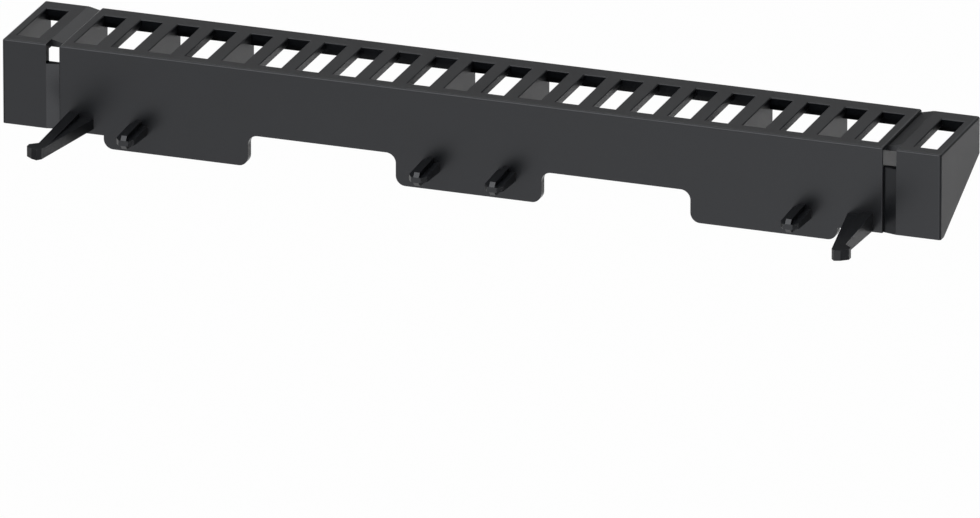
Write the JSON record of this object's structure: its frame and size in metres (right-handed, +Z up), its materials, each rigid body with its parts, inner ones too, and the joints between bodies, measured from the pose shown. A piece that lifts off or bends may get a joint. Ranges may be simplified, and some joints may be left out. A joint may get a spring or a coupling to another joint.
{
  "type": "horizontal cable manager",
  "caption": "Slotted plastic bar for a rack: a comb top over a front wall with tabs, pegs and barbed hook arms, with an end section past a groove at each end.",
  "frame": {"origin": "on the flat mounting face of the front wall, at the middle of the row of pegs", "axes": "+X along the bar, -Y out of the mounting face along the pegs and hook arms, +Z up to the comb"},
  "size_m": [0.44, 0.099, 0.0458],
  "materials": {
    "black_plastic": "black moulded plastic with a satin sheen and a fine grain"
  },
  "bodies": {
    "root": {"cable_manager": "black_plastic"}
  },
  "joints": []
}
